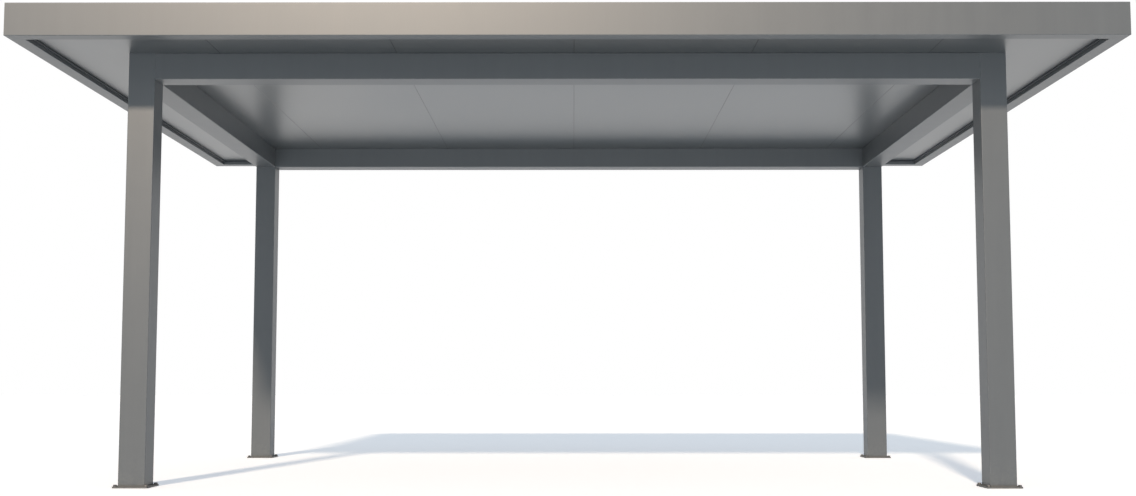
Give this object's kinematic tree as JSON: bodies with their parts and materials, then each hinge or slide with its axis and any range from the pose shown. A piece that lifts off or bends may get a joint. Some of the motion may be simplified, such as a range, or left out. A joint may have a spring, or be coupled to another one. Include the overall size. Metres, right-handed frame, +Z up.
{
  "type": "flat roof carport",
  "caption": "Free-standing flat-roof carport: square posts on bolted base plates, a beam frame, deep fascia all round and a panelled roof with a level ceiling.",
  "frame": {"origin": "centre of the footprint on the floor, midway between the posts", "axes": "+Z up, +X along the width of the roof, the open front faces -Y"},
  "size_m": [6, 4.15, 2.607],
  "materials": {
    "base_plates": "satin powder coat",
    "frame": "satin powder coat",
    "fascia": "satin powder coat",
    "shadow_strip": "satin powder coat",
    "roof_panels": "semi-gloss coil coating",
    "flashing": "satin powder coat",
    "drain": "satin powder coat",
    "fixings": "zinc-plated steel"
  },
  "bodies": {
    "root": {"base_plate_front_left": "base_plates", "base_plate_front_right": "base_plates", "base_plate_back_left": "base_plates", "base_plate_back_right": "base_plates", "post_front_left": "frame", "post_front_right": "frame", "post_back_left": "frame", "post_back_right": "frame", "beam_front": "frame", "beam_back": "frame", "beam_left": "frame", "beam_right": "frame", "fascia_front": "fascia", "fascia_back": "fascia", "fascia_left": "fascia", "fascia_right": "fascia", "shadow_strip_front": "shadow_strip", "shadow_strip_back": "shadow_strip", "shadow_strip_left": "shadow_strip", "shadow_strip_right": "shadow_strip", "roof_panel_1": "roof_panels", "roof_panel_2": "roof_panels", "roof_panel_3": "roof_panels", "roof_panel_4": "roof_panels", "roof_panel_5": "roof_panels", "roof_panel_6": "roof_panels", "side_flashing_left": "flashing", "side_flashing_right": "flashing", "drain_spout": "drain"}
  },
  "joints": []
}
